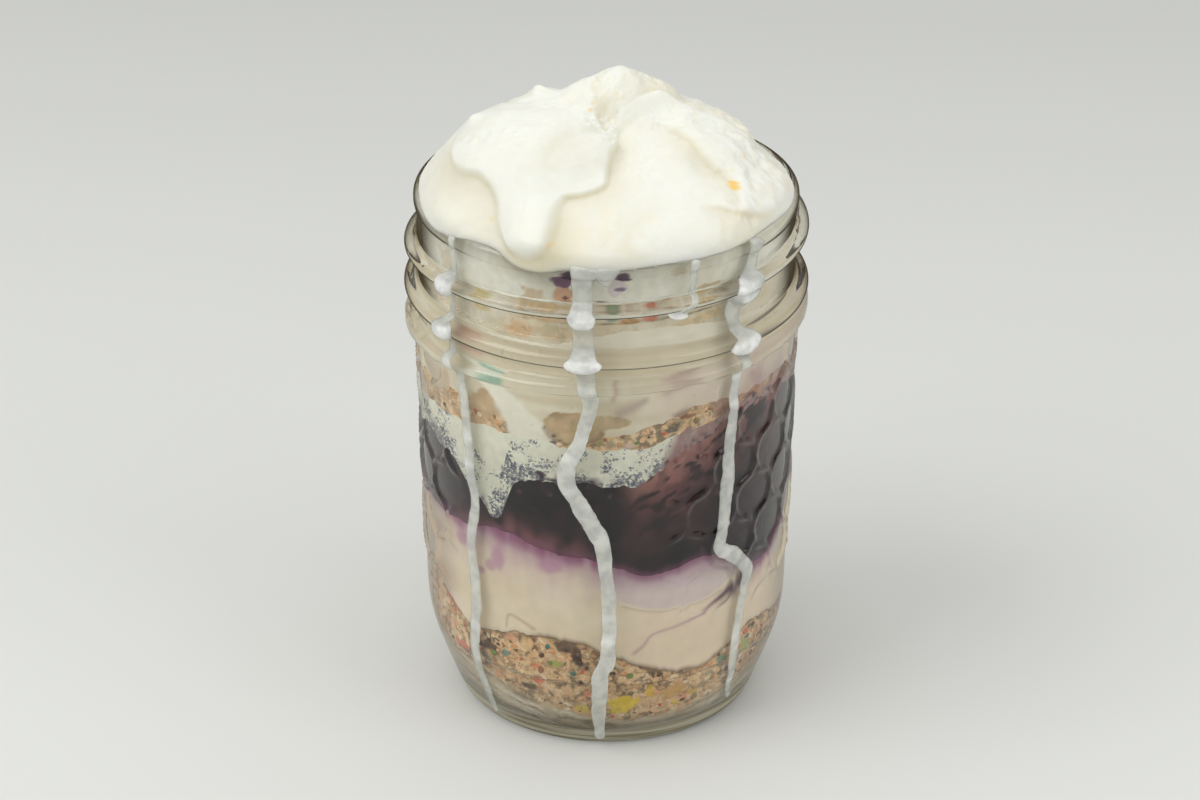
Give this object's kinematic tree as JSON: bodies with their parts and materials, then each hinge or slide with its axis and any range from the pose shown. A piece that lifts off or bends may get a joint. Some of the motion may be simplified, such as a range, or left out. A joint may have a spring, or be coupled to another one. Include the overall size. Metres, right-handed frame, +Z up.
{
  "type": "jar of layered cheesecake",
  "caption": "Glass preserving jar filled with layers of crumbs, cheesecake and dark fruit compote under a spooned mound of whipped cream, with milky drips down the glass.",
  "frame": {"origin": "centre of the jar's foot, on the surface it stands on", "axes": "+Z up along the jar's axis; the front, with the longest drip, faces -Y"},
  "size_m": [0.0696, 0.0721, 0.1152],
  "materials": {
    "clear_glass": "smooth clear pressed glass",
    "biscuit_crumbs": "dry loose crumb",
    "cheesecake": "smooth dense cream cheese filling",
    "dark_fruit_compote": "wet dark cooked fruit",
    "speckled_cream": "cream with dark fruit specks",
    "whipped_cream": "soft satin whipped cream",
    "milky_drips": "thin wet cream"
  },
  "bodies": {
    "root": {"jar": "clear_glass", "crumb_base": "biscuit_crumbs", "cheesecake_lower": "cheesecake", "compote": "dark_fruit_compote", "speckled_cream": "speckled_cream", "crumb_middle": "biscuit_crumbs", "cheesecake_upper": "cheesecake", "crumb_upper": "biscuit_crumbs", "whipped_cream": "whipped_cream"}
  },
  "joints": []
}
